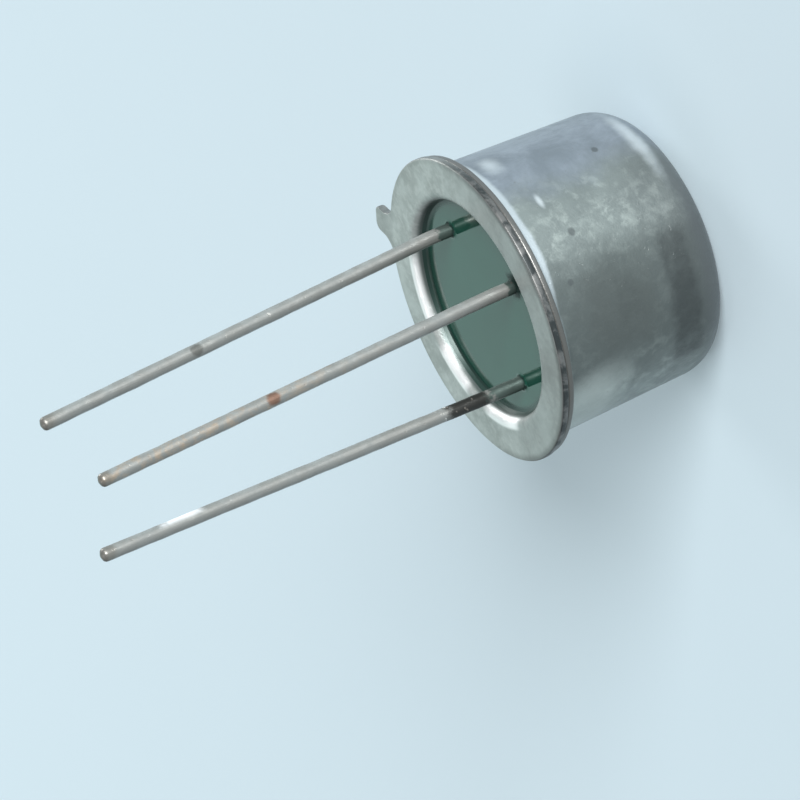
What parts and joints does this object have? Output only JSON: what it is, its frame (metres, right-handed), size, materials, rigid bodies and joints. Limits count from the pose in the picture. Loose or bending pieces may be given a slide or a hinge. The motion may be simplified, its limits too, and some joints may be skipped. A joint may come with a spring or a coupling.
{
  "type": "pnp transistor",
  "caption": "Small-signal pnp transistor in a round metal can: flanged cap, header with index tab, green glass seal and straight wire leads.",
  "frame": {"origin": "centre of the outer face of the can's closed end, on which the part stands with its leads up", "axes": "+Z along the leads, away from the can; +X towards the emitter lead, -Y towards the base lead, -X towards the collector lead; the index tab is about halfway between +X and +Y, at 43 degrees from +X"},
  "size_m": [0.0092, 0.0092, 0.0196],
  "materials": {
    "can_metal": "dull, tarnished",
    "header_metal": "dull, satin",
    "seal_glass": "fired, smooth",
    "lead_metal": "dull, tarnished",
    "silicon": "polished",
    "gold": "bright",
    "pad_metal": "satin"
  },
  "bodies": {
    "root": {"can": "can_metal", "header_shell": "header_metal", "glass_seal": "seal_glass", "emitter_lead": "lead_metal", "base_lead": "lead_metal", "collector_lead": "lead_metal", "chip": "silicon", "gold_preform": "gold", "emitter_pad": "pad_metal", "base_pad": "pad_metal", "emitter_bond_wire": "gold", "base_bond_wire": "gold"}
  },
  "joints": []
}
